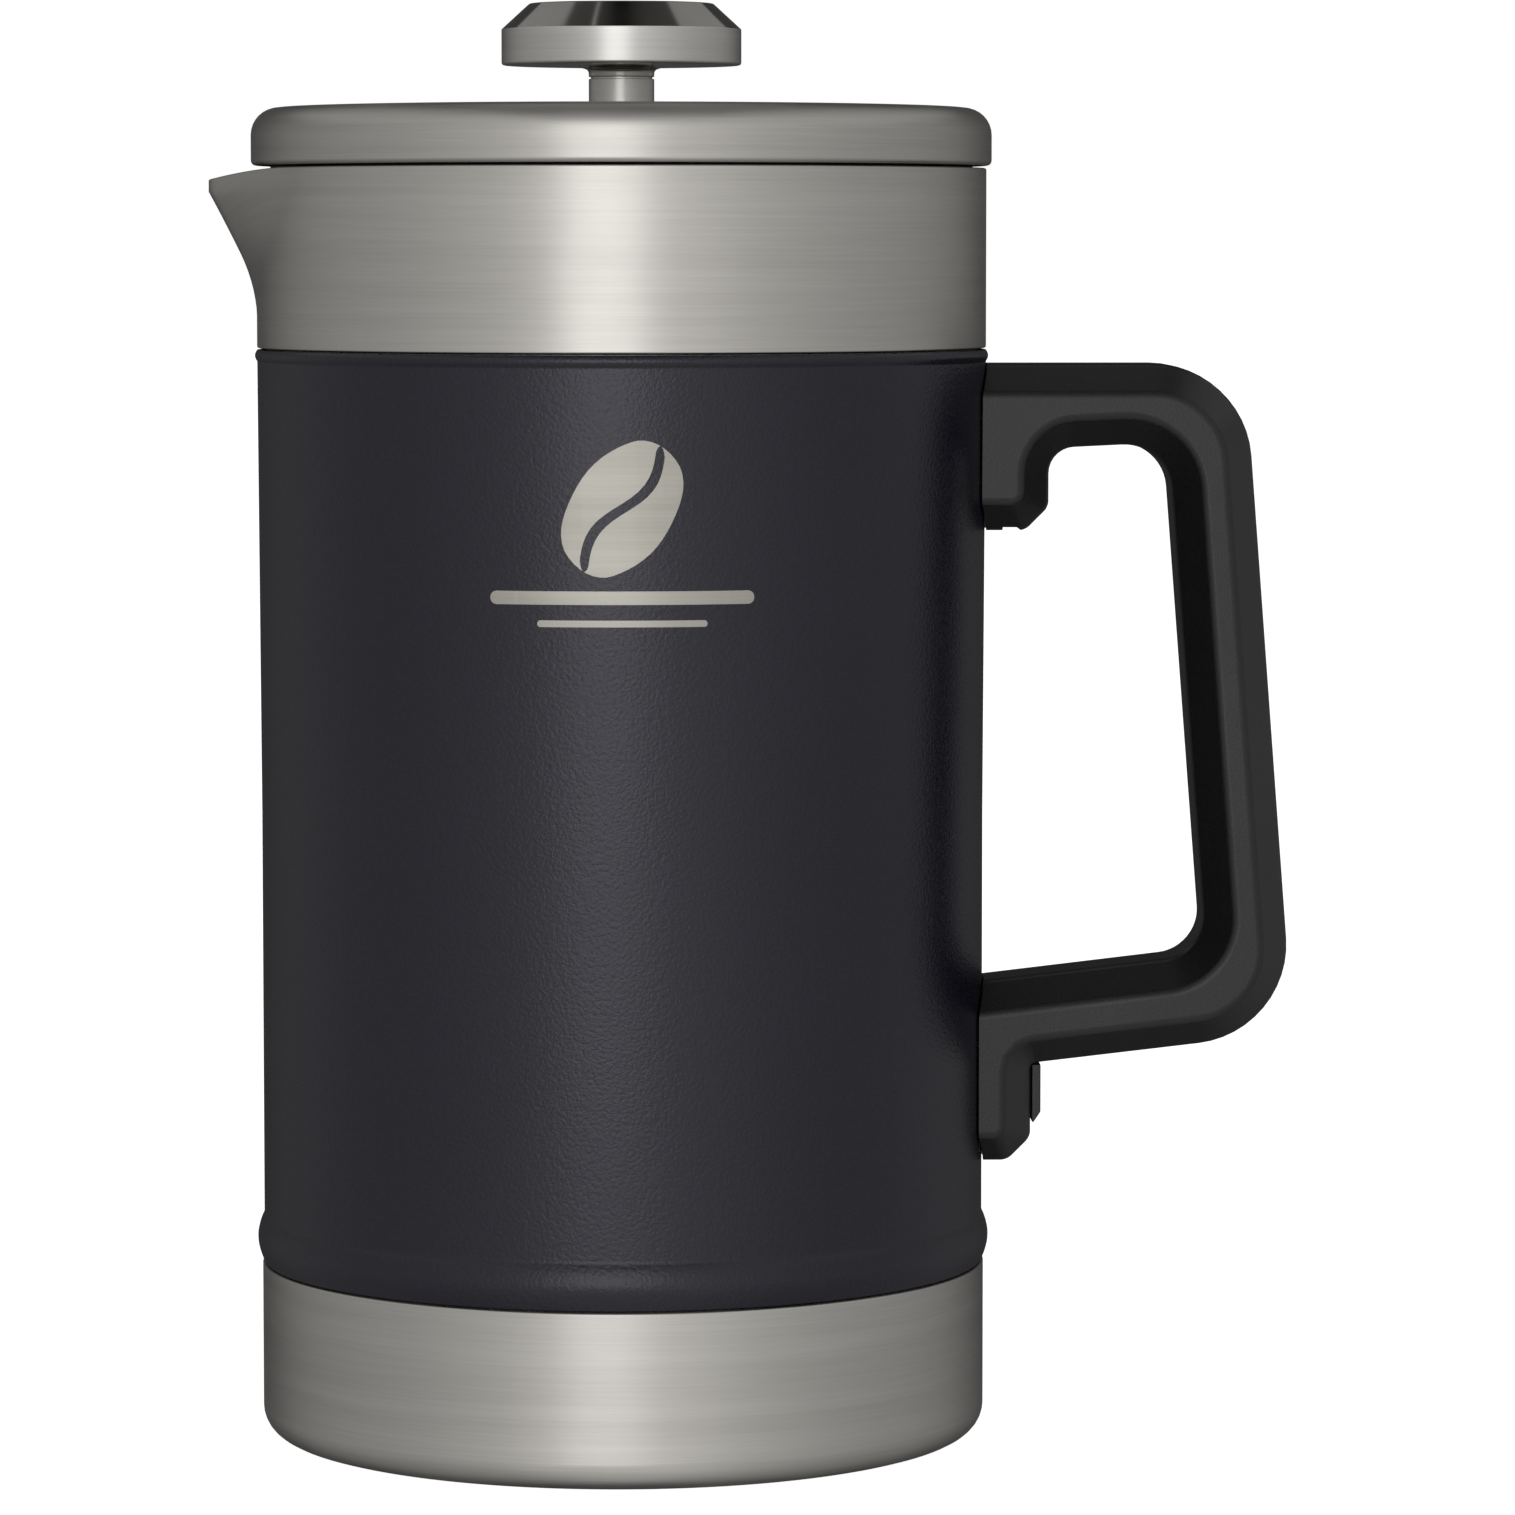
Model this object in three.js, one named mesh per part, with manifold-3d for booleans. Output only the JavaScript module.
// An insulated French press: a double-walled steel vessel with a pouring lip and a moulded handle,
// a plug-in lid, and a plunger whose filter stack runs down the inner wall.
// Millimetres, +Z up. The origin is on the vessel's axis, at the height of the surface it stands on.
// The lip points along -X and the handle along +X. The plunger is shown pressed all the way down.

import * as THREE from "three";
import { mergeVertices } from "three/addons/utils/BufferGeometryUtils.js";
import Module from "manifold-3d";

// ---------- driving dimensions ----------

const GAP = 0.3; // clearance between two pieces that touch
const LAP_CLEAR = 0.4; // clearance of a step that laps inside the sleeve
const SHEET = 0.8; // wall of the drawn steel shells

// vessel
const BODY_R = 62; // outer radius of the coated sleeve
const BODY_TOP_FLARE = 0.4; // how much wider the sleeve is at its top
const RIM_Z = 217.8; // height of the rim
const BASE_H = 30; // height of the bare steel base
const BASE_PROUD = 0.3; // how far the base stands out past the sleeve
const BASE_CORNER_R = 5;
const FOOT_W = 7; // width of the ring that the base stands on
const COLLAR_H = 30.6; // height of the bare steel collar
const LAP_H = 5; // overlap of the collar and of the base inside the sleeve
const LOW_BEAD = { tall: 8, proud: 1.1 };
const TOP_BEAD = { tall: 2, proud: 0.4 };
const VACUUM_GAP = 6.4; // space between the two walls
const FLOOR_Z = 12; // inside floor of the liner
const FLOOR_CORNER_R = 8;
const MOUTH_H = 18; // height of the wide mouth above the flare
const FLARE_H = 10; // height over which the liner widens into the mouth

// pouring lip
const LIP_OUT = 8.2; // reach of the lip past the collar
const LIP_START = 26.8; // where the lip starts, below the rim
const LIP_BLEND = 12.6; // height of the round stretch at its foot
const LIP_NOSE_R = 8;
const LIP_DIP = 1.9; // the tip is this much lower than the rim
const LIP_TIP = 3.8; // height of the tip's upright face
const TROUGH_START = 11; // where the inner wall's lip starts, below the rim
const TROUGH_BLEND = 4;
const SLOPE_ALLOWANCE = 0.12; // a sloping wall is this much thicker, measured level

// cutting and joining
const PAST = 1; // a cutting solid runs this far past what it cuts
const JOIN = 0.1; // two solids that are joined overlap by this much

// base fittings
const RECESS_Z = 2.2; // underside of the recessed centre
const DIMPLE_R = 6.5;
const DIMPLE_H = 2.8;
const VENT_R = 1.5; // hole that the air is drawn out through
const SEAL_H = 1.6;
const BASE_PAD_R = 30;
const GETTER = { r: 8, thick: 2, offset: 22 };

// handle
const ARM_T = 13.5; // height of the top arm at the body
const GRIP_T = 14.3; // thickness of the grip
const GRIP_FLAT = 12; // width of the flat on the back of the grip
const CHAMFER = 5; // size of the long chamfers, on the side face
const CHAMFER_DEEP = 7; // the same chamfers, across the handle
const HANDLE_BELOW_COLLAR = 2.7;
const HANDLE_ABOVE_BEAD = 9;
const HANDLE_REACH = 44.6; // from the body to the back of the grip, at the top
const GRIP_LEAN = 0.078; // how far the grip leans out, per millimetre down
const ARM_SLOPE = 0.115; // how far the lower arm rises, per millimetre out
const ARM_TAPER = 0.05; // the same for the underside of the top arm
const FOOT_ARM_T = 14.4;
const HEAD_PAD = { out: 11, tall: 28.5 }; // pad that the top arm meets the body with
const FOOT_PAD = { out: 8.2, tall: 31.2 };
const PAD_CORNER = 4;
const OUTER_CORNER_R = 17;
const INNER_CORNER_R = 6.5;
const PAD_FILLET_R = 4;

// handle fixings
const RAIL = { neck: 8, head: 13, neckOut: 3, headOut: 2.5, tall: 16, below: 8 };
const BRACKET = { wide: 13, thick: 2, tall: 22 };
const SCREW = { r: 1.9, headR: 3.6, headH: 1.8, drive: 2.4, driveDeep: 1 };
const SCREW_BOSS = { r: 4, out: 2 };
const SCREW_UP = 11.5; // height of the screw above the foot of the pad
const COVER = { wide: 10, tall: 10, proud: 1.8, bevel: 1.2, bevelTall: 1.8 };
const WEB = 1.3; // thickness of handle that the screw clamps

// lid
const LID_PROUD = 0.9; // how far the lid stands out past the collar
const LID_H = 9.8;
const LID_CORNER_R = 5;
const LID_CROWN = 0.3; // the top is this much higher at its middle
const LID_HEM_R = 1.6; // rolled lower edge
const LID_LIFT = 0.4; // shadow gap between the rim and the lid
const SKIRT_CLEAR = 0.5; // play of the lid's skirt in the mouth
const SKIRT_H = 15;
const SKIRT_T = 3;
const CORE_T = 2.5; // top plate of the lid's core
const CORE_TOP = 5.7; // its height above the rim
const CORE_BEVEL = 0.8;
const GASKET = { tall: 2.4, deep: 1.6, up: 1.6, play: 0.4, lip: 0.6 };
const SLOT = { wide: 2.4, pitch: 4.4, count: 7, top: 1.3, bottom: 8.3 };
const HUB_R = 12; // hub in the middle of the lid's core
const BUSH = { wall: 2.7, flangeR: 14, flangeT: 1.2, below: 4 };
const NUT = { flats: 20, tall: 4.2 };

// plunger
const ROD_R = 3;
const FILTER_UP = 3.5; // room under the filter when it is pressed down
const FILTER_CLEAR = 0.4; // between the filter's edge and the liner
const MESH_T = 0.4;
const MESH_RIM_H = 3.8;
const COIL_R = 1.35;
const PLATE_T = 0.8;
const CROSS_T = 1;
const CROSS_INSET = 5.5; // the cross plate is this much smaller than the mesh
const CROSS_BOSS = { r: 7, tall: 3.4 };
const HUB = { r: 8, tall: 6, bevel: 1.5 };
const PLATE_HOLES = [{ count: 8, ring: 29, r: 7 }];
const CROSS_HOLES = [
  { count: 6, ring: 23, r: 8 },
  { count: 10, ring: 40, r: 4.2 },
];
const FERRULE = { r: 5.6, tall: 4.4 };
const KNOB_R = 20.5;
const KNOB_H = 12.5; // from the neck to the top
const KNOB_BAND_LOW = 2; // height of the band's lower edge above the neck
const KNOB_CHAMFER = { in: 4.8, down: 4.4 };
const KNOB_SHEET = 1;
const KNOB_EDGE = 0.6;
const KNOB_FLARE = 0.9;
const ROD_GRIP = 8; // length of rod inside the knob

// facets of the round pieces
const WIDE_SIDES = 40;
const LIP_SIDES = 52;
const MEDIUM_SIDES = 32;
const SMALL_SIDES = 16;
const HOLE_SIDES = 10;
const LIP_GATHER = 0.5; // how closely the facets of a shell with a lip gather towards the lip

// ---------- what follows from them ----------

const COLLAR_R = BODY_R + BODY_TOP_FLARE;
const COLLAR_Z = RIM_Z - COLLAR_H;
const LAP_R = BODY_R - SHEET - LAP_CLEAR;
const LINER_OUT_R = BODY_R - SHEET - VACUUM_GAP;
const LINER_R = LINER_OUT_R - SHEET;
const MOUTH_OUT_R = COLLAR_R - SHEET - GAP;
const MOUTH_R = MOUTH_OUT_R - SHEET;
const FLARE_Z = RIM_Z - MOUTH_H - FLARE_H;
const SLEEVE_LOW_Z = BASE_H + GAP;
const SLEEVE_TOP_Z = COLLAR_Z - GAP;
const HANDLE_TOP_Z = COLLAR_Z - HANDLE_BELOW_COLLAR;
const HANDLE_LOW_Z = SLEEVE_LOW_Z + LOW_BEAD.tall + HANDLE_ABOVE_BEAD;
const FOOT_TOP_Z = HANDLE_LOW_Z + FOOT_PAD.tall;
const FOOT_ARM_LOW_Z = FOOT_TOP_Z - FOOT_ARM_T;
const SCREW_Z = HANDLE_LOW_Z + SCREW_UP;
const LID_R = COLLAR_R + LID_PROUD;
const LID_Z = RIM_Z + LID_LIFT;
const LID_TOP_Z = LID_Z + LID_H;
const SKIRT_R = MOUTH_R - SKIRT_CLEAR;
const SKIRT_LOW_Z = RIM_Z - SKIRT_H;
const CORE_TOP_Z = RIM_Z + CORE_TOP;
const ROD_HOLE_R = ROD_R + GAP;
const BUSH_R = ROD_HOLE_R + BUSH.wall;
const BUSH_SPIGOT_R = FERRULE.r - 1;
const BUSH_FLANGE_TOP_Z = LID_TOP_Z - SHEET - GAP;
const BUSH_FLANGE_Z = BUSH_FLANGE_TOP_Z - BUSH.flangeT;
const NUT_TOP_Z = CORE_TOP_Z - CORE_T - GAP;
const BUSH_LOW_Z = NUT_TOP_Z - NUT.tall - BUSH.below;
const CROSS_LOW_Z = FLOOR_Z + FILTER_UP;
const CROSS_TOP_Z = CROSS_LOW_Z + CROSS_BOSS.tall;
const MESH_Z = CROSS_TOP_Z + GAP;
const PLATE_Z = MESH_Z + MESH_T + GAP;
const HUB_Z = PLATE_Z + PLATE_T + GAP;
const MESH_R = LINER_R - FILTER_CLEAR;
const COIL_RING_R = MESH_R - MESH_T - GAP - COIL_R;
const PLATE_R = COIL_RING_R - COIL_R - GAP;
const FERRULE_Z = LID_TOP_Z + LID_CROWN + GAP;
const NECK_Z = FERRULE_Z + FERRULE.tall + GAP;
const KNOB_TOP_Z = NECK_Z + KNOB_H;

// ---------- geometry helpers ----------

const wasm = await Module();
wasm.setup();

// A solid of revolution about Z. The outline is [radius, height] pairs, running up its outer side.
function revolve(outline, sides) {
  const points = outline.map(([r, z]) => new THREE.Vector2(r, z));
  return new THREE.LatheGeometry(points, sides).rotateX(Math.PI / 2);
}

// A ring: its outline closes on itself instead of on the axis.
function ring(outline, sides) {
  return revolve([...outline, outline[0]], sides);
}

// Points of an arc in an outline, from one angle to another, in degrees.
function arc(r, z, radius, from, to, steps) {
  return Array.from({ length: steps + 1 }, (_, i) => {
    const a = THREE.MathUtils.degToRad(from + ((to - from) * i) / steps);
    return [r + radius * Math.cos(a), z + radius * Math.sin(a)];
  });
}

// A round bead standing out of a wall, as outline points from its foot to its top.
function bead(r, z, { tall, proud }, steps) {
  return Array.from({ length: steps + 1 }, (_, i) => [
    r + proud * Math.sin((Math.PI * i) / steps),
    z + (tall * i) / steps,
  ]);
}

function tube(outR, inR, z0, z1, sides) {
  return ring([[inR, z0], [outR, z0], [outR, z1], [inR, z1]], sides);
}

function rod(r, z0, z1, sides) {
  return revolve([[0, z0], [r, z0], [r, z1], [0, z1]], sides);
}

function block(x0, x1, width, z0, z1) {
  return new THREE.BoxGeometry(x1 - x0, width, z1 - z0).translate((x0 + x1) / 2, 0, (z0 + z1) / 2);
}

// A cylinder lying along X.
function pin(r, x0, x1, z, sides = SMALL_SIDES) {
  return new THREE.CylinderGeometry(r, r, x1 - x0, sides)
    .rotateZ(Math.PI / 2)
    .translate((x0 + x1) / 2, 0, z);
}

// A closed outline whose corners are [x, y, radius], with an arc at each corner that has a radius.
function filletedShape(corners) {
  const shape = new THREE.Shape();
  corners.forEach(([x, y, r = 0], i) => {
    const at = new THREE.Vector2(x, y);
    const side = (j) => {
      const [px, py] = corners.at(j % corners.length);
      return new THREE.Vector2(px, py).sub(at).normalize();
    };
    const back = side(i - 1);
    const ahead = side(i + 1);
    const half = Math.acos(THREE.MathUtils.clamp(back.dot(ahead), -1, 1)) / 2;
    const start = at.clone().addScaledVector(back, r / Math.tan(half));
    if (i) shape.lineTo(start.x, start.y);
    else shape.moveTo(start.x, start.y);
    if (!r) return;
    const end = at.clone().addScaledVector(ahead, r / Math.tan(half));
    const middle = back.clone().add(ahead).normalize().multiplyScalar(r / Math.sin(half)).add(at);
    const angle = (p) => Math.atan2(p.y - middle.y, p.x - middle.x);
    shape.absarc(middle.x, middle.y, r, angle(start), angle(end), back.cross(ahead) > 0);
  });
  return shape;
}

// An outline drawn in X and Z, extruded across Y about the middle plane.
function extrudeAcross(shape, options) {
  const geometry = new THREE.ExtrudeGeometry(shape, { curveSegments: 3, ...options });
  return geometry.translate(0, 0, -options.depth / 2).rotateX(Math.PI / 2);
}

function toSolid(geometry) {
  const bare = new THREE.BufferGeometry().setAttribute("position", geometry.getAttribute("position"));
  bare.setIndex(geometry.index);
  const merged = mergeVertices(bare, 1e-3);
  return new wasm.Manifold(
    new wasm.Mesh({
      numProp: 3,
      vertProperties: merged.attributes.position.array,
      triVerts: new Uint32Array(merged.index.array),
    }),
  );
}

function toGeometry(solid) {
  const { vertProperties, triVerts } = solid.getMesh();
  const geometry = new THREE.BufferGeometry()
    .setAttribute("position", new THREE.BufferAttribute(vertProperties, 3))
    .setIndex(new THREE.BufferAttribute(triVerts, 1));
  geometry.computeVertexNormals();
  return geometry;
}

// One geometry with others joined to it, and then others cut out of it.
function combine(base, joined, cut) {
  let solid = toSolid(base);
  for (const geometry of joined) solid = solid.add(toSolid(geometry));
  for (const geometry of cut) solid = solid.subtract(toSolid(geometry));
  return toGeometry(solid);
}

// ---------- the pouring lip ----------

// How far a lip's middle line stands out at a height: a round foot, a straight slope, then its full reach.
function lipReach(z, { start, blend, end, out }) {
  const slope = out / (end - start - blend / 2);
  const up = THREE.MathUtils.clamp(z - start, 0, end - start);
  return up < blend ? (slope * up * up) / (2 * blend) : slope * (up - blend / 2);
}

// Radius of the lip's level section at an angle from its middle line: the body's circle and the nose's
// circle, joined by the two straight lines that touch both.
function lipRadius(bodyR, reach, angle) {
  const centre = bodyR + reach - LIP_NOSE_R;
  if (centre <= bodyR - LIP_NOSE_R) return bodyR;
  const touch = Math.acos((bodyR - LIP_NOSE_R) / centre);
  if (angle >= touch) return bodyR;
  const onLine = bodyR / Math.cos(touch - angle);
  const across = centre * Math.sin(angle);
  if (across > LIP_NOSE_R) return onLine;
  const onNose = centre * Math.cos(angle) + Math.sqrt(LIP_NOSE_R ** 2 - across ** 2);
  const noseEnd = Math.atan2(LIP_NOSE_R * Math.sin(touch), centre + LIP_NOSE_R * Math.cos(touch));
  return angle < noseEnd ? onNose : onLine;
}

// Gathers a revolved shell's facets towards the lip, and pushes its upper wall out into the lip. Each of
// the shell's two skins has a lip of its own.
function formLip(geometry, skinOf) {
  const position = geometry.getAttribute("position");
  const p = new THREE.Vector3();
  for (let i = 0; i < position.count; i++) {
    p.fromBufferAttribute(position, i);
    const r = Math.hypot(p.x, p.y);
    const turn = Math.atan2(p.y, -p.x);
    const angle = turn - LIP_GATHER * Math.sin(turn);
    const skin = skinOf(r, p.z);
    const rise = skin ? Math.max(p.z - skin.start, 0) : 0;
    const push = rise > 0 ? lipRadius(skin.r, lipReach(p.z, skin), Math.abs(angle)) - skin.r : 0;
    const dip = push ? (LIP_DIP * push * rise) / (LIP_OUT * (RIM_Z - skin.start)) : 0;
    position.setXYZ(i, -(r + push) * Math.cos(angle), (r + push) * Math.sin(angle), p.z - dip);
  }
  return geometry;
}

const COLLAR_LIP = {
  outer: { r: COLLAR_R, start: RIM_Z - LIP_START, end: RIM_Z - LIP_TIP, blend: LIP_BLEND, out: LIP_OUT },
  inner: {
    r: COLLAR_R - SHEET,
    start: RIM_Z - LIP_START + SHEET,
    end: RIM_Z - LIP_TIP + SHEET,
    blend: LIP_BLEND,
    out: LIP_OUT - SLOPE_ALLOWANCE,
  },
};
const TROUGH_OUT = LIP_OUT - 2 * SLOPE_ALLOWANCE;
const TROUGH = {
  outer: {
    r: MOUTH_OUT_R,
    start: RIM_Z - TROUGH_START - SHEET,
    end: RIM_Z,
    blend: TROUGH_BLEND,
    out: TROUGH_OUT,
  },
  inner: {
    r: MOUTH_R,
    start: RIM_Z - TROUGH_START,
    end: RIM_Z,
    blend: TROUGH_BLEND,
    out: TROUGH_OUT - SLOPE_ALLOWANCE,
  },
};

// Heights at which a wall gets a ring of vertices, so that it can bend into the lip.
function lipLevels({ start, blend, end }) {
  return [start, start + blend / 2, start + blend, end];
}

// ---------- the vessel ----------

// Bare upper band: its lower edge steps in and laps inside the sleeve.
function pourCollar() {
  const { outer, inner } = COLLAR_LIP;
  const outline = [
    [LAP_R - SHEET, COLLAR_Z - LAP_H],
    [LAP_R, COLLAR_Z - LAP_H],
    [LAP_R, COLLAR_Z],
    [COLLAR_R, COLLAR_Z],
    ...lipLevels(outer).map((z) => [COLLAR_R, z]),
    [COLLAR_R, RIM_Z],
    [COLLAR_R - SHEET, RIM_Z],
    ...lipLevels(inner).reverse().map((z) => [COLLAR_R - SHEET, z]),
    [COLLAR_R - SHEET, COLLAR_Z + SHEET],
    [LAP_R - SHEET, COLLAR_Z + SHEET],
  ];
  const middle = COLLAR_R - SHEET / 2;
  return formLip(ring(outline, LIP_SIDES), (r) => (r > middle ? outer : inner));
}

// The sleeve's outer side, from the foot bead to the top bead, moved out by a margin.
function sleeveSide(margin) {
  const straightTop = SLEEVE_TOP_Z - TOP_BEAD.tall;
  return [
    ...bead(BODY_R + margin, SLEEVE_LOW_Z, LOW_BEAD, 4),
    [BODY_R + margin, (SLEEVE_LOW_Z + straightTop) / 2],
    ...bead(COLLAR_R + margin, straightTop, TOP_BEAD, 2),
  ];
}

function bodySleeve() {
  const inR = BODY_R - SHEET;
  return ring([[inR, SLEEVE_LOW_Z], ...sleeveSide(0), [inR, SLEEVE_TOP_Z]], WIDE_SIDES);
}

// Bare steel base: a deep-drawn cup whose wall laps inside the sleeve. It stands on a flat ring, and its
// recessed middle has a dimple with the vent hole that is sealed once the air is out.
function baseCup() {
  const outR = BODY_R + BASE_PROUD;
  const footOutR = outR - BASE_CORNER_R;
  const footInR = footOutR - FOOT_W;
  const dimpleTop = RECESS_Z + DIMPLE_H;
  const outline = [
    [0, RECESS_Z],
    [footInR - RECESS_Z, RECESS_Z],
    [footInR, 0],
    ...arc(footOutR, BASE_CORNER_R, BASE_CORNER_R, -90, 0, 4),
    [outR, BASE_H],
    [LAP_R, BASE_H],
    [LAP_R, BASE_H + LAP_H],
    [LAP_R - SHEET, BASE_H + LAP_H],
    [LAP_R - SHEET, BASE_H - SHEET],
    [outR - SHEET, BASE_H - SHEET],
    ...arc(footOutR, BASE_CORNER_R, BASE_CORNER_R - SHEET, 0, -90, 3),
    [footInR + SHEET, SHEET],
    [footInR - RECESS_Z + SHEET, RECESS_Z + SHEET],
    [0, RECESS_Z + SHEET],
  ];
  const dimple = rod(DIMPLE_R + SHEET, RECESS_Z, dimpleTop + SHEET, SMALL_SIDES);
  const hollow = rod(DIMPLE_R, RECESS_Z - PAST, dimpleTop, SMALL_SIDES);
  const vent = rod(VENT_R, RECESS_Z, dimpleTop + SHEET + PAST, SMALL_SIDES);
  return combine(revolve(outline, WIDE_SIDES), [dimple], [hollow, vent]);
}

// Inner wall: a straight cup that the filter runs in, widening into the mouth, with a trough in the lip.
function innerLiner() {
  const { outer, inner } = TROUGH;
  const flareTop = FLARE_Z + FLARE_H;
  const outline = [
    [0, FLOOR_Z - SHEET],
    ...arc(LINER_R - FLOOR_CORNER_R, FLOOR_Z + FLOOR_CORNER_R, FLOOR_CORNER_R + SHEET, -90, 0, 3),
    [LINER_OUT_R, FLARE_Z],
    [MOUTH_OUT_R, flareTop],
    ...lipLevels(outer).map((z) => [MOUTH_OUT_R, z]),
    ...lipLevels(inner).reverse().map((z) => [MOUTH_R, z]),
    [MOUTH_R, flareTop],
    [LINER_R, FLARE_Z],
    ...arc(LINER_R - FLOOR_CORNER_R, FLOOR_Z + FLOOR_CORNER_R, FLOOR_CORNER_R, 0, -90, 3),
    [0, FLOOR_Z],
  ];
  const middle = MOUTH_R + SHEET / 2;
  return formLip(revolve(outline, LIP_SIDES), (r, z) => (z > flareTop ? (r > middle ? outer : inner) : null));
}

// Capsule that soaks up the last gas between the walls, under the liner's floor.
function getterCapsule() {
  const top = FLOOR_Z - SHEET - GAP;
  return rod(GETTER.r, top - GETTER.thick, top, SMALL_SIDES).translate(GETTER.offset, 0, 0);
}

// Pill of solder that closes the vent hole from below, in its dimple.
function vacuumSeal() {
  const top = RECESS_Z + DIMPLE_H - GAP;
  return rod(DIMPLE_R - GAP, top - SEAL_H, top, SMALL_SIDES);
}

// Soft pad bonded into the base's recess, over the seal. It stands level with the foot ring.
function basePad() {
  return rod(BASE_PAD_R, 0, RECESS_Z - GAP, WIDE_SIDES);
}

// ---------- the handle ----------

// Side view of the handle. Both pads run into the body, and are cut back to its wall afterwards.
function handleOutline() {
  const inside = BODY_R - 2 * CHAMFER;
  const headLow = HANDLE_TOP_Z - HEAD_PAD.tall;
  const headOut = BODY_R + HEAD_PAD.out;
  const footOut = BODY_R + FOOT_PAD.out;
  const onBack = (inset, z) => [BODY_R + HANDLE_REACH - inset + GRIP_LEAN * (HANDLE_TOP_Z - z), z];
  const reach = HANDLE_REACH + GRIP_LEAN * (HANDLE_TOP_Z - FOOT_ARM_LOW_Z);
  const armLow = (out) => HANDLE_TOP_Z - ARM_T + ARM_TAPER * (out - HANDLE_REACH + GRIP_T);
  return filletedShape([
    [inside, HANDLE_TOP_Z],
    [...onBack(0, HANDLE_TOP_Z), OUTER_CORNER_R],
    [...onBack(0, FOOT_ARM_LOW_Z + ARM_SLOPE * (reach - FOOT_PAD.out)), OUTER_CORNER_R],
    [footOut, FOOT_ARM_LOW_Z],
    [footOut, HANDLE_LOW_Z + PAD_CORNER],
    [footOut - PAD_CORNER, HANDLE_LOW_Z],
    [inside, HANDLE_LOW_Z],
    [inside, FOOT_TOP_Z - ARM_SLOPE * (BODY_R - inside)],
    [...onBack(GRIP_T, FOOT_TOP_Z + ARM_SLOPE * (reach - GRIP_T)), INNER_CORNER_R],
    [...onBack(GRIP_T, armLow(HANDLE_REACH - GRIP_T)), INNER_CORNER_R],
    [headOut, armLow(HEAD_PAD.out), PAD_FILLET_R],
    [headOut, headLow + PAD_CORNER],
    [headOut - PAD_CORNER, headLow],
    [inside, headLow],
  ]);
}

// The T-shaped rail on the body that the head of the handle slides down over, grown by a margin.
function railParts(z0, z1, margin) {
  const neckEnd = COLLAR_R + RAIL.neckOut;
  const headEnd = neckEnd + RAIL.headOut;
  const neck = block(BODY_R - PAST, neckEnd + JOIN, RAIL.neck + 2 * margin, z0, z1);
  const head = block(neckEnd - margin, headEnd + margin, RAIL.head + 2 * margin, z0, z1);
  return [neck, head];
}

function railSpan() {
  const top = HANDLE_TOP_Z - RAIL.below;
  return [top - RAIL.tall, top];
}

// The plate and threaded boss on the body that the foot of the handle is screwed to, grown by a margin.
function bracketParts(margin) {
  const plateEnd = BODY_R + BRACKET.thick;
  const bossEnd = plateEnd + SCREW_BOSS.out;
  const half = BRACKET.tall / 2 + margin;
  const low = Math.max(SCREW_Z - half, HANDLE_LOW_Z + WEB);
  const plate = block(BODY_R - PAST, plateEnd + margin, BRACKET.wide + 2 * margin, low, SCREW_Z + half);
  const boss = pin(SCREW_BOSS.r + margin, BODY_R - PAST, bossEnd + margin, SCREW_Z);
  return [plate, boss];
}

// Cuts a piece back to the body's wall.
function bodyCutter(margin) {
  const side = sleeveSide(margin);
  return revolve([[0, SLEEVE_LOW_Z], ...side, [0, SLEEVE_TOP_Z]], WIDE_SIDES);
}

function handle() {
  const grip = extrudeAcross(handleOutline(), {
    depth: GRIP_FLAT,
    bevelEnabled: true,
    bevelSize: CHAMFER,
    bevelOffset: -CHAMFER,
    bevelThickness: CHAMFER_DEEP,
    bevelSegments: 1,
  });
  const [, railTop] = railSpan();
  const rail = railParts(HANDLE_TOP_Z - HEAD_PAD.tall - PAST, railTop + GAP, GAP);
  const bossEnd = BODY_R + BRACKET.thick + SCREW_BOSS.out + GAP;
  const padOut = BODY_R + FOOT_PAD.out;
  const screwHole = pin(SCREW.r + GAP, bossEnd - PAST, padOut, SCREW_Z);
  const headHole = pin(SCREW.headR + GAP, bossEnd + WEB, padOut + PAST, SCREW_Z);
  return combine(grip, [], [bodyCutter(GAP), ...rail, ...bracketParts(GAP), screwHole, headHole]);
}

function handleUpperBracket() {
  const [neck, head] = railParts(...railSpan(), 0);
  return combine(neck, [head], [bodyCutter(GAP)]);
}

function handleLowerBracket() {
  const [plate, boss] = bracketParts(0);
  const bossEnd = BODY_R + BRACKET.thick + SCREW_BOSS.out;
  const thread = pin(SCREW.r + GAP, BODY_R - PAST, bossEnd + PAST, SCREW_Z);
  return combine(plate, [boss], [bodyCutter(GAP), thread]);
}

function handleScrew() {
  const under = BODY_R + BRACKET.thick + SCREW_BOSS.out + GAP + WEB + GAP;
  const top = under + SCREW.headH;
  const shank = pin(SCREW.r, BODY_R + 2 * GAP, under + JOIN, SCREW_Z);
  const head = pin(SCREW.headR, under, top, SCREW_Z);
  const hexSocket = pin(SCREW.drive, top - SCREW.driveDeep, top + PAST, SCREW_Z, 6);
  return combine(shank, [head], [hexSocket]);
}

// Cap that hides the screw, in the corner between the pad and the lower arm.
function handleScrewCover() {
  const padOut = BODY_R + FOOT_PAD.out + GAP;
  const high = FOOT_ARM_LOW_Z - GAP;
  const low = high - COVER.tall;
  const out = padOut + COVER.proud - GAP;
  const side = filletedShape([
    [padOut, low],
    [out - COVER.bevel, low],
    [out, low + COVER.bevelTall],
    [out, high],
    [padOut, high],
  ]);
  return extrudeAcross(side, { depth: COVER.wide, bevelEnabled: false });
}

// ---------- the lid ----------

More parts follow.
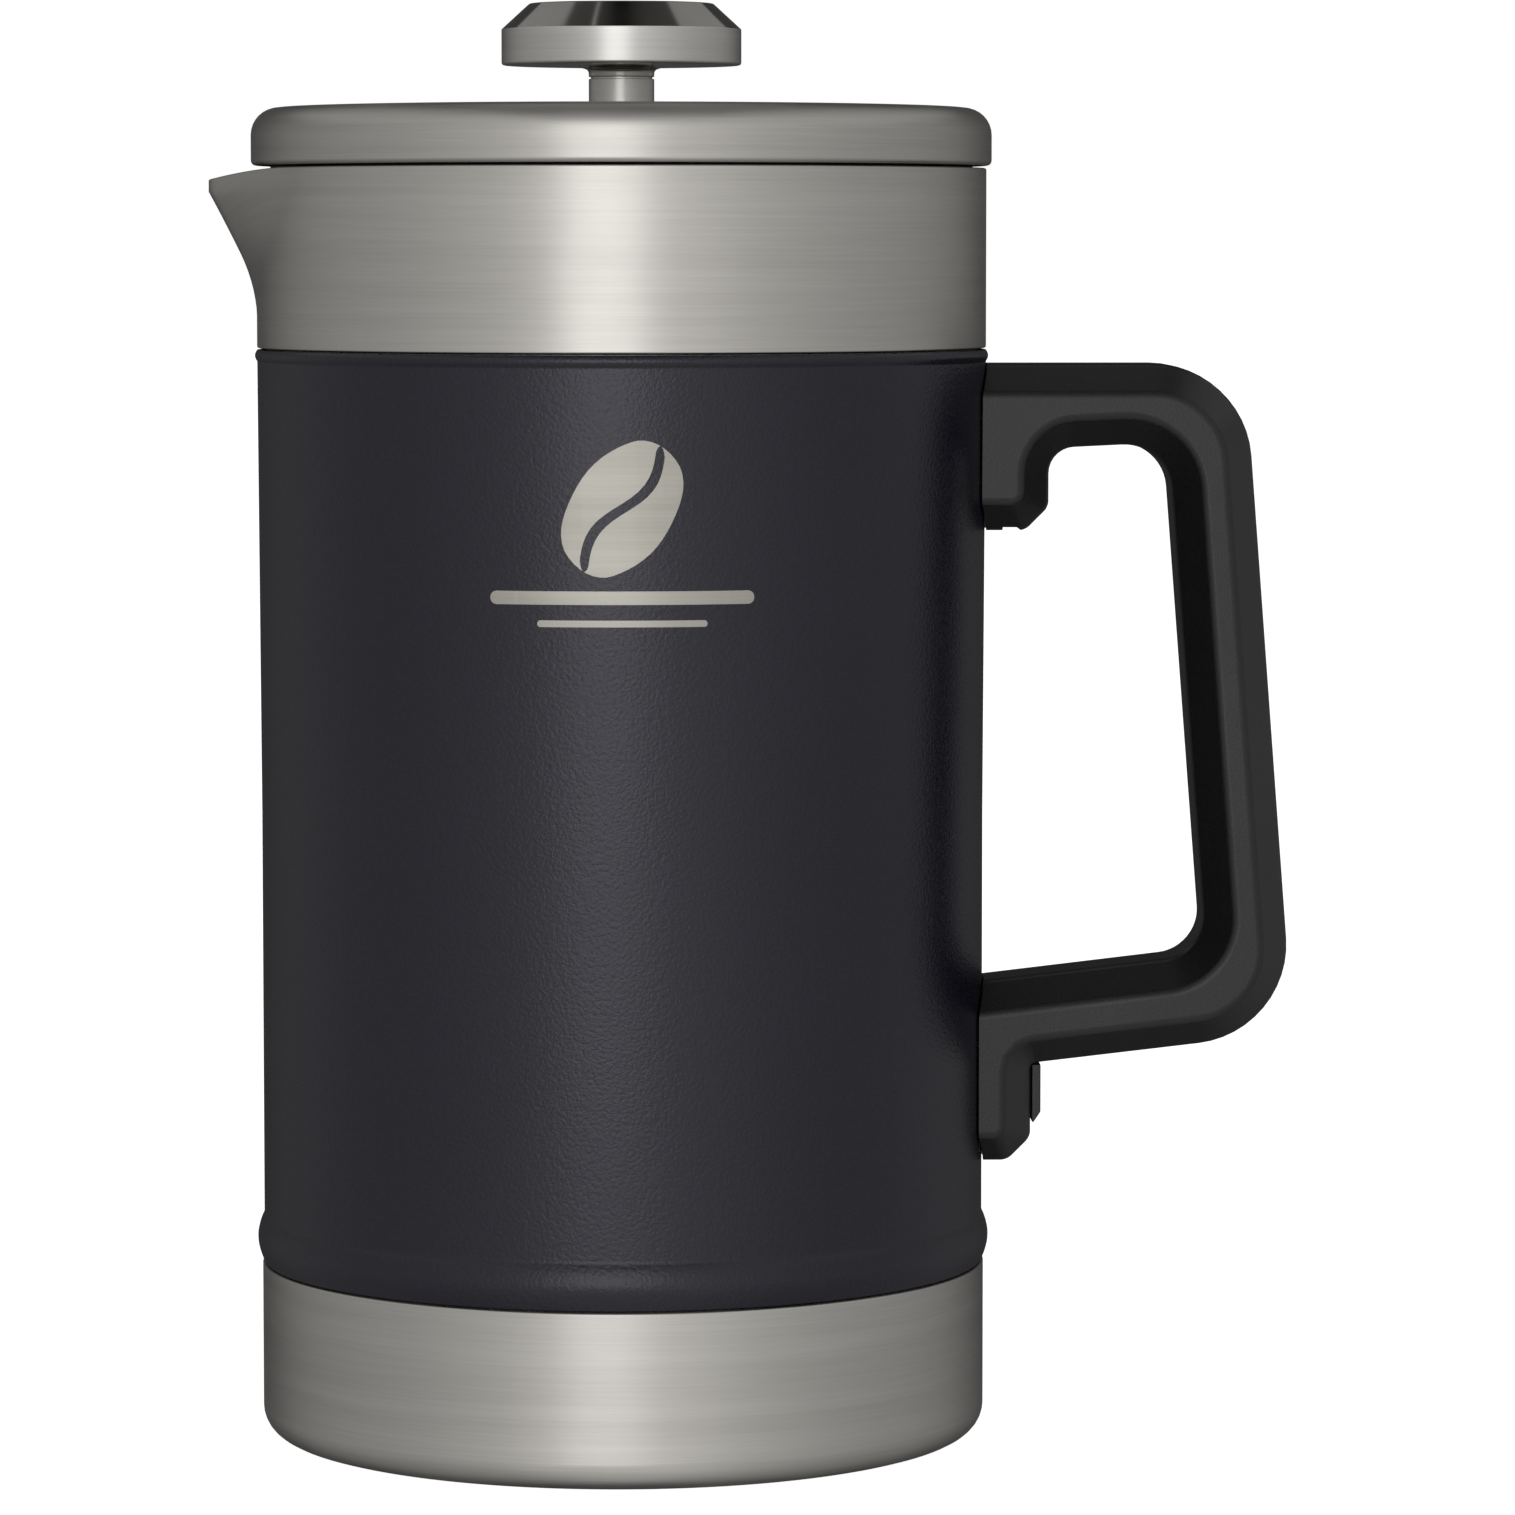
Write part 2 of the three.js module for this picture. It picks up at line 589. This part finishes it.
// Brushed steel cover of the lid: a shallow drawn cap with a rolled edge and a hole for the bush.
function lidShell() {
  const holeR = BUSH_SPIGOT_R + GAP;
  const cornerR = LID_R - LID_CORNER_R;
  const cornerZ = LID_TOP_Z - LID_CORNER_R;
  const hemR = LID_R - LID_HEM_R;
  const outline = [
    ...arc(hemR, LID_Z + LID_HEM_R, LID_HEM_R, -90, 0, 2),
    ...arc(cornerR, cornerZ, LID_CORNER_R, 0, 90, 4),
    [holeR, LID_TOP_Z + LID_CROWN],
    [holeR, LID_TOP_Z + LID_CROWN - SHEET],
    ...arc(cornerR, cornerZ, LID_CORNER_R - SHEET, 90, 0, 3),
    [LID_R - SHEET, LID_Z + LID_HEM_R],
    [hemR, LID_Z + SHEET],
  ];
  return ring(outline, WIDE_SIDES);
}

// Moulded body of the lid: a flange that rests on the rim and a skirt that plugs the mouth. Slots in the
// skirt, above the gasket, let the drink out when they face the lip.
function lidCore() {
  const flangeR = LID_R - SHEET - GAP;
  const restZ = RIM_Z + GAP;
  const flangeTop = CORE_TOP_Z - CORE_BEVEL;
  const grooveZ = SKIRT_LOW_Z + GASKET.up;
  const grooveTop = grooveZ + GASKET.tall + 2 * GAP;
  const grooveR = SKIRT_R - GASKET.deep;
  const under = CORE_TOP_Z - CORE_T;
  const outline = [
    [BUSH_R + GAP, under],
    [SKIRT_R - SKIRT_T, under],
    [SKIRT_R - SKIRT_T, SKIRT_LOW_Z],
    [SKIRT_R, SKIRT_LOW_Z],
    [SKIRT_R, grooveZ],
    [grooveR, grooveZ],
    [grooveR, grooveTop],
    [SKIRT_R, grooveTop],
    [SKIRT_R, restZ],
    [flangeR - LID_HEM_R, restZ],
    [flangeR, restZ + LID_HEM_R + SHEET],
    [flangeR, Math.min(flangeTop, LID_TOP_Z - LID_CORNER_R)],
    [flangeR - 2 * CORE_BEVEL, CORE_TOP_Z],
    [HUB_R, CORE_TOP_Z],
    [HUB_R, BUSH_FLANGE_Z - GAP],
    [BUSH_R + GAP, BUSH_FLANGE_Z - GAP],
  ];
  const slots = Array.from({ length: SLOT.count }, (_, i) => {
    const across = (i - (SLOT.count - 1) / 2) * SLOT.pitch;
    const inner = -SKIRT_R + SKIRT_T + SLOT.wide;
    const slot = block(-SKIRT_R - PAST, inner, SLOT.wide, RIM_Z - SLOT.bottom, RIM_Z - SLOT.top);
    return slot.rotateZ(across / SKIRT_R);
  });
  return combine(ring(outline, WIDE_SIDES), [], slots);
}

// Guide for the rod, welded under the shell: a flange, a spigot in the shell's hole and a threaded tube.
function lidBush() {
  const outline = [
    [ROD_HOLE_R, BUSH_LOW_Z],
    [BUSH_R, BUSH_LOW_Z],
    [BUSH_R, BUSH_FLANGE_Z],
    [BUSH.flangeR, BUSH_FLANGE_Z],
    [BUSH.flangeR, BUSH_FLANGE_TOP_Z],
    [BUSH_SPIGOT_R, BUSH_FLANGE_TOP_Z],
    [BUSH_SPIGOT_R, LID_TOP_Z + LID_CROWN - GAP],
    [ROD_HOLE_R, LID_TOP_Z + LID_CROWN - GAP],
  ];
  return ring(outline, SMALL_SIDES);
}

// Hexagonal nut that clamps the core to the bush.
function lidNut() {
  const cornerR = NUT.flats / 2 / Math.cos(Math.PI / 6);
  const hexagon = rod(cornerR, NUT_TOP_Z - NUT.tall, NUT_TOP_Z, 6);
  const thread = rod(BUSH_R + GAP, NUT_TOP_Z - NUT.tall - PAST, NUT_TOP_Z + PAST, SMALL_SIDES);
  return combine(hexagon, [], [thread]);
}

function lidGasket() {
  const inR = SKIRT_R - GASKET.deep + GAP;
  const outR = MOUTH_R - GASKET.play;
  const low = SKIRT_LOW_Z + GASKET.up + GAP;
  const high = low + GASKET.tall;
  const shoulderR = outR - GASKET.lip;
  const outline = [
    [inR, low],
    [shoulderR, low],
    [outR, (low + high) / 2],
    [shoulderR, high],
    [inR, high],
  ];
  return ring(outline, WIDE_SIDES);
}

// ---------- the plunger ----------

function plungerRod() {
  return rod(ROD_R, CROSS_LOW_Z + GAP, NECK_Z + ROD_GRIP, SMALL_SIDES);
}

// Drawn cap of the knob: flat top, wide chamfer and upright band.
function knobShell() {
  const bandTop = KNOB_TOP_Z - KNOB_CHAMFER.down;
  const low = NECK_Z + KNOB_BAND_LOW;
  const inR = KNOB_R - KNOB_SHEET;
  const topInR = inR - KNOB_CHAMFER.in;
  const outline = [
    [inR, low],
    [KNOB_R - KNOB_EDGE, low],
    [KNOB_R, low + KNOB_EDGE],
    [KNOB_R, bandTop],
    [KNOB_R - KNOB_CHAMFER.in, KNOB_TOP_Z],
    [0, KNOB_TOP_Z],
    [0, KNOB_TOP_Z - KNOB_SHEET],
    [topInR, KNOB_TOP_Z - KNOB_SHEET],
    [inR, bandTop - KNOB_SHEET / 2],
  ];
  return ring(outline, MEDIUM_SIDES);
}

// Solid core of the knob: it fills the cap, and its underside runs down into the neck.
function knobBase() {
  const r = KNOB_R - KNOB_SHEET - GAP;
  const low = NECK_Z + KNOB_BAND_LOW;
  const bandTop = KNOB_TOP_Z - KNOB_CHAMFER.down - KNOB_SHEET;
  const neckR = FERRULE.r;
  const socketTop = NECK_Z + ROD_GRIP + GAP;
  const outline = [
    [0, socketTop],
    [ROD_HOLE_R, socketTop],
    [ROD_HOLE_R, NECK_Z],
    [neckR, NECK_Z],
    ...arc(neckR + KNOB_FLARE, NECK_Z + GAP, KNOB_FLARE, 180, 90, 2),
    [r, low],
    [r, bandTop],
    [r - KNOB_CHAMFER.in, KNOB_TOP_Z - KNOB_SHEET - GAP],
    [0, KNOB_TOP_Z - KNOB_SHEET - GAP],
  ];
  return revolve(outline, MEDIUM_SIDES);
}

// Sleeve on the rod under the knob. It meets the lid when the plunger is all the way down.
function knobFerrule() {
  return tube(FERRULE.r, ROD_HOLE_R, FERRULE_Z, FERRULE_Z + FERRULE.tall, SMALL_SIDES);
}

function filterHub() {
  const top = HUB_Z + HUB.tall;
  const outline = [
    [ROD_HOLE_R, HUB_Z],
    [HUB.r, HUB_Z],
    [HUB.r, top - HUB.bevel],
    [HUB.r - HUB.bevel, top],
    [ROD_HOLE_R, top],
  ];
  return ring(outline, SMALL_SIDES);
}

// Round holes through a level plate, in rings about the axis.
function ringsOfHoles(rings, z0, z1) {
  return rings.flatMap(({ count, ring: at, r }) =>
    Array.from({ length: count }, (_, i) =>
      rod(r, z0, z1, HOLE_SIDES).translate(at, 0, 0).rotateZ((2 * Math.PI * i) / count),
    ),
  );
}

function springPlate() {
  const plate = tube(PLATE_R, ROD_HOLE_R, PLATE_Z, PLATE_Z + PLATE_T, MEDIUM_SIDES);
  return combine(plate, [], ringsOfHoles(PLATE_HOLES, PLATE_Z - PAST, PLATE_Z + PLATE_T + PAST));
}

// Close-wound wire spring bent into a ring, shown as the solid that its turns fill.
function filterCoil() {
  const middle = MESH_Z + MESH_T + GAP + COIL_R;
  return ring(arc(COIL_RING_R, middle, COIL_R, -90, 210, 5), MEDIUM_SIDES);
}

// Woven screen with a turned-up rim that the coil presses against the wall.
function meshScreen() {
  const top = MESH_Z + MESH_RIM_H;
  const outline = [
    [ROD_HOLE_R, MESH_Z],
    [MESH_R, MESH_Z],
    [MESH_R, top],
    [MESH_R - MESH_T, top],
    [MESH_R - MESH_T, MESH_Z + MESH_T],
    [ROD_HOLE_R, MESH_Z + MESH_T],
  ];
  return ring(outline, MEDIUM_SIDES);
}

// Lower plate with large holes, screwed to the end of the rod by its boss.
function crossPlate() {
  const r = MESH_R - CROSS_INSET;
  const outline = [
    [ROD_HOLE_R, CROSS_LOW_Z],
    [CROSS_BOSS.r, CROSS_LOW_Z],
    [CROSS_BOSS.r, CROSS_TOP_Z - CROSS_T],
    [r, CROSS_TOP_Z - CROSS_T],
    [r, CROSS_TOP_Z],
    [ROD_HOLE_R, CROSS_TOP_Z],
  ];
  const holes = ringsOfHoles(CROSS_HOLES, CROSS_TOP_Z - CROSS_T - PAST, CROSS_TOP_Z + PAST);
  return combine(ring(outline, MEDIUM_SIDES), [], holes);
}

// ---------- materials and assembly ----------

function finish(color, roughness, metalness) {
  return new THREE.MeshStandardMaterial({ color, roughness, metalness });
}

const brushedSteel = finish(0x9b9792, 0.38, 1);
const plainSteel = finish(0xa7a5a2, 0.3, 1);
const polishedSteel = finish(0x8c8a86, 0.12, 1);
const powderCoat = finish(0x29292e, 0.62, 0.1);
const blackNylon = finish(0x222223, 0.5, 0);
const blackPlastic = finish(0x1c1c1d, 0.45, 0);
const silicone = finish(0x2a2a2b, 0.7, 0);
const solder = finish(0x6f6f70, 0.5, 0.8);

const PIECES = [
  ["pour_collar", pourCollar, brushedSteel],
  ["body_sleeve", bodySleeve, powderCoat],
  ["base_cup", baseCup, brushedSteel],
  ["inner_liner", innerLiner, plainSteel],
  ["getter_capsule", getterCapsule, solder],
  ["vacuum_seal", vacuumSeal, solder],
  ["base_pad", basePad, silicone],
  ["handle", handle, blackNylon],
  ["handle_upper_bracket", handleUpperBracket, plainSteel],
  ["handle_lower_bracket", handleLowerBracket, plainSteel],
  ["handle_screw", handleScrew, plainSteel],
  ["handle_screw_cover", handleScrewCover, blackNylon],
  ["lid_shell", lidShell, brushedSteel],
  ["lid_core", lidCore, blackPlastic],
  ["lid_bush", lidBush, plainSteel],
  ["lid_nut", lidNut, plainSteel],
  ["lid_gasket", lidGasket, silicone],
  ["plunger_rod", plungerRod, plainSteel],
  ["knob_shell", knobShell, brushedSteel],
  ["knob_base", knobBase, polishedSteel],
  ["knob_ferrule", knobFerrule, brushedSteel],
  ["filter_hub", filterHub, plainSteel],
  ["spring_plate", springPlate, plainSteel],
  ["filter_coil", filterCoil, plainSteel],
  ["mesh_screen", meshScreen, plainSteel],
  ["cross_plate", crossPlate, plainSteel],
];

const frenchPress = new THREE.Group();
for (const [name, make, material] of PIECES) {
  const mesh = new THREE.Mesh(make(), material);
  mesh.name = name;
  frenchPress.add(mesh);
}

export default frenchPress;
